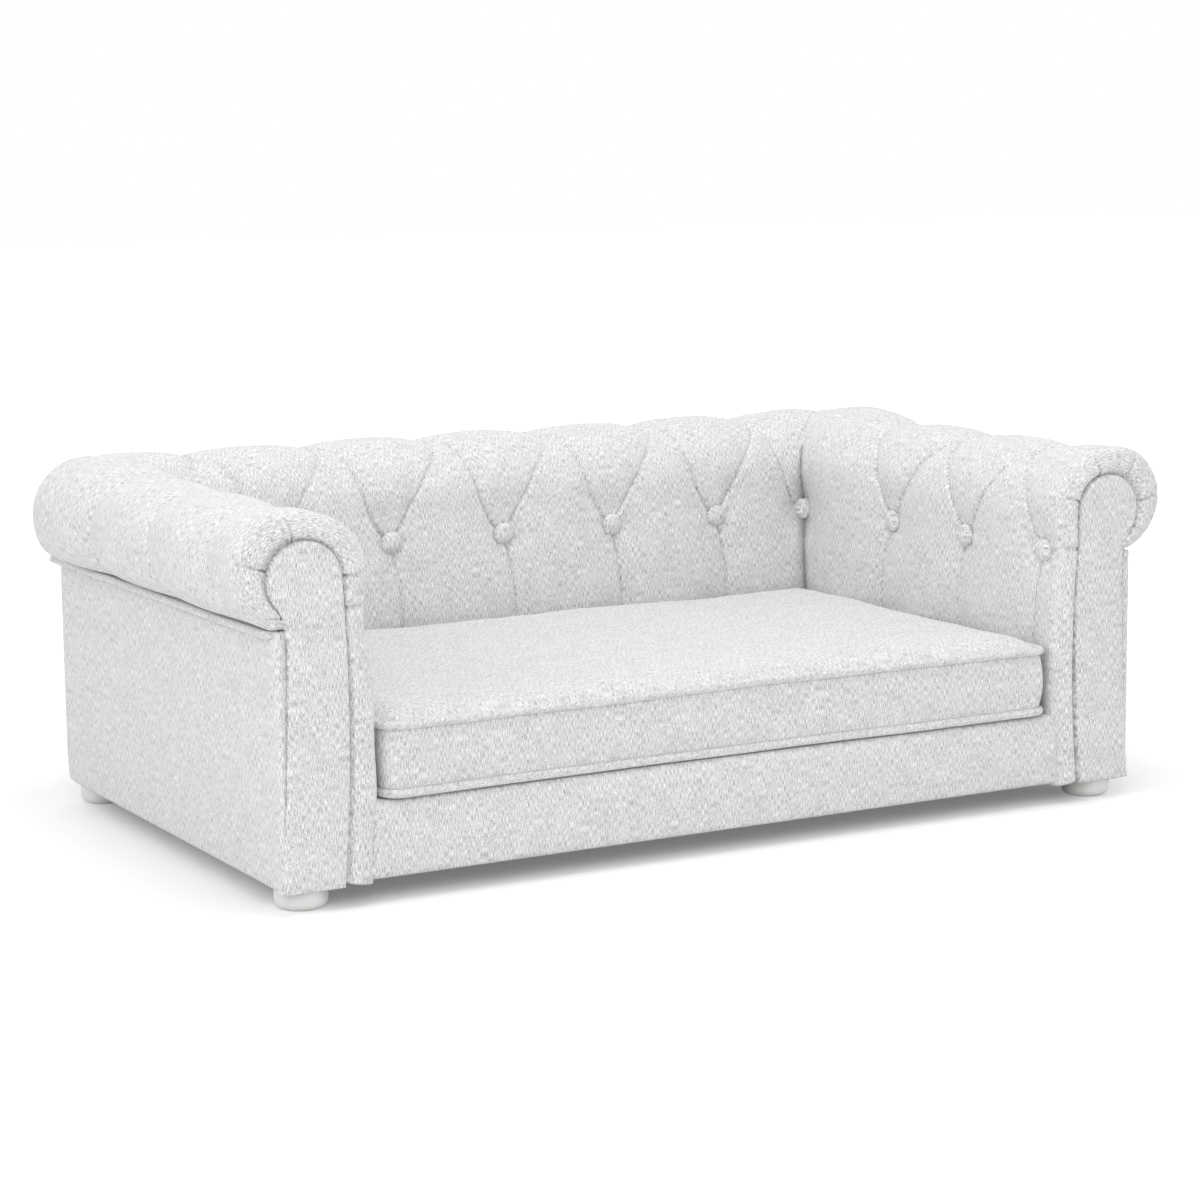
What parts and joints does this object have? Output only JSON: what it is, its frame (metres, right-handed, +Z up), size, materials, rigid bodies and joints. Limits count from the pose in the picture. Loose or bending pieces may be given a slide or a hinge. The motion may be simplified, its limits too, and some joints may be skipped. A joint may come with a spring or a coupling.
{
  "type": "pet bed",
  "caption": "Low three-sided pet sofa with a button-tufted back, rolled scroll arms, a loose boxed and piped seat cushion and short round feet.",
  "frame": {"origin": "on the floor, under the middle of the bounding box", "axes": "+X to the right arm seen from the front, along the seat's length; +Y to the back; +Z up"},
  "size_m": [0.988, 0.589, 0.348],
  "materials": {
    "cover_fabric": "light grey heathered linen-look upholstery weave",
    "foam": "open-cell upholstery foam",
    "plywood": "unfinished plywood",
    "timber": "planed softwood",
    "foot_plastic": "pale moulded plastic with a fine satin texture",
    "steel": "zinc plated",
    "deck_cloth": "plain woven deck cloth",
    "dust_cloth": "black non-woven dust cloth",
    "zip_tape": "woven zip tape with nylon coil",
    "zip_metal": "plated zip slider"
  },
  "bodies": {
    "sofa": {"back_pad": "cover_fabric", "left_arm_pad": "cover_fabric", "right_arm_pad": "cover_fabric", "left_outside_panel": "cover_fabric", "right_outside_panel": "cover_fabric", "rear_outside_panel": "cover_fabric", "left_facing": "cover_fabric", "right_facing": "cover_fabric", "front_border": "cover_fabric", "back_buttons": "cover_fabric", "left_arm_buttons": "cover_fabric", "right_arm_buttons": "cover_fabric", "left_roll_welt": "cover_fabric", "right_roll_welt": "cover_fabric", "rear_roll_welt": "cover_fabric", "left_arm_foam": "foam", "right_arm_foam": "foam", "back_foam": "foam", "left_roll_core": "foam", "right_roll_core": "foam", "back_roll_core": "foam", "deck_board": "plywood", "left_arm_board": "plywood", "right_arm_board": "plywood", "back_board": "plywood", "left_scroll_board": "plywood", "right_scroll_board": "plywood", "front_rail": "plywood", "rear_rail": "plywood", "left_side_rail": "plywood", "right_side_rail": "plywood", "corner_posts": "timber", "centre_batten": "timber", "left_arm_cleat": "timber", "right_arm_cleat": "timber", "back_cleat": "timber", "left_top_rail": "timber", "right_top_rail": "timber", "back_top_rail": "timber", "front_uprights": "timber", "rear_uprights": "timber", "frame_dowels": "timber", "front_left_foot": "foot_plastic", "front_right_foot": "foot_plastic", "rear_left_foot": "foot_plastic", "rear_right_foot": "foot_plastic", "deck_screws": "steel", "foot_bolts": "steel", "dust_cover_staples": "steel", "deck_cloth": "deck_cloth", "dust_cover": "dust_cloth"},
    "cushion": {"seat_cushion": "cover_fabric", "cushion_foam": "foam", "cushion_top_piping": "cover_fabric", "cushion_bottom_piping": "cover_fabric", "zip_tape": "zip_tape"},
    "zip_slider": {"zip_slider": "zip_metal"}
  },
  "joints": [
    {"name": "cushion_lift", "type": "slide", "parent": "sofa", "child": "cushion", "axis": [0, 0, 1], "range_m": [0, 0.28]},
    {"name": "zip_slide", "type": "slide", "parent": "cushion", "child": "zip_slider", "axis": [-1, 0, 0], "range_m": [0, 0.379]}
  ]
}
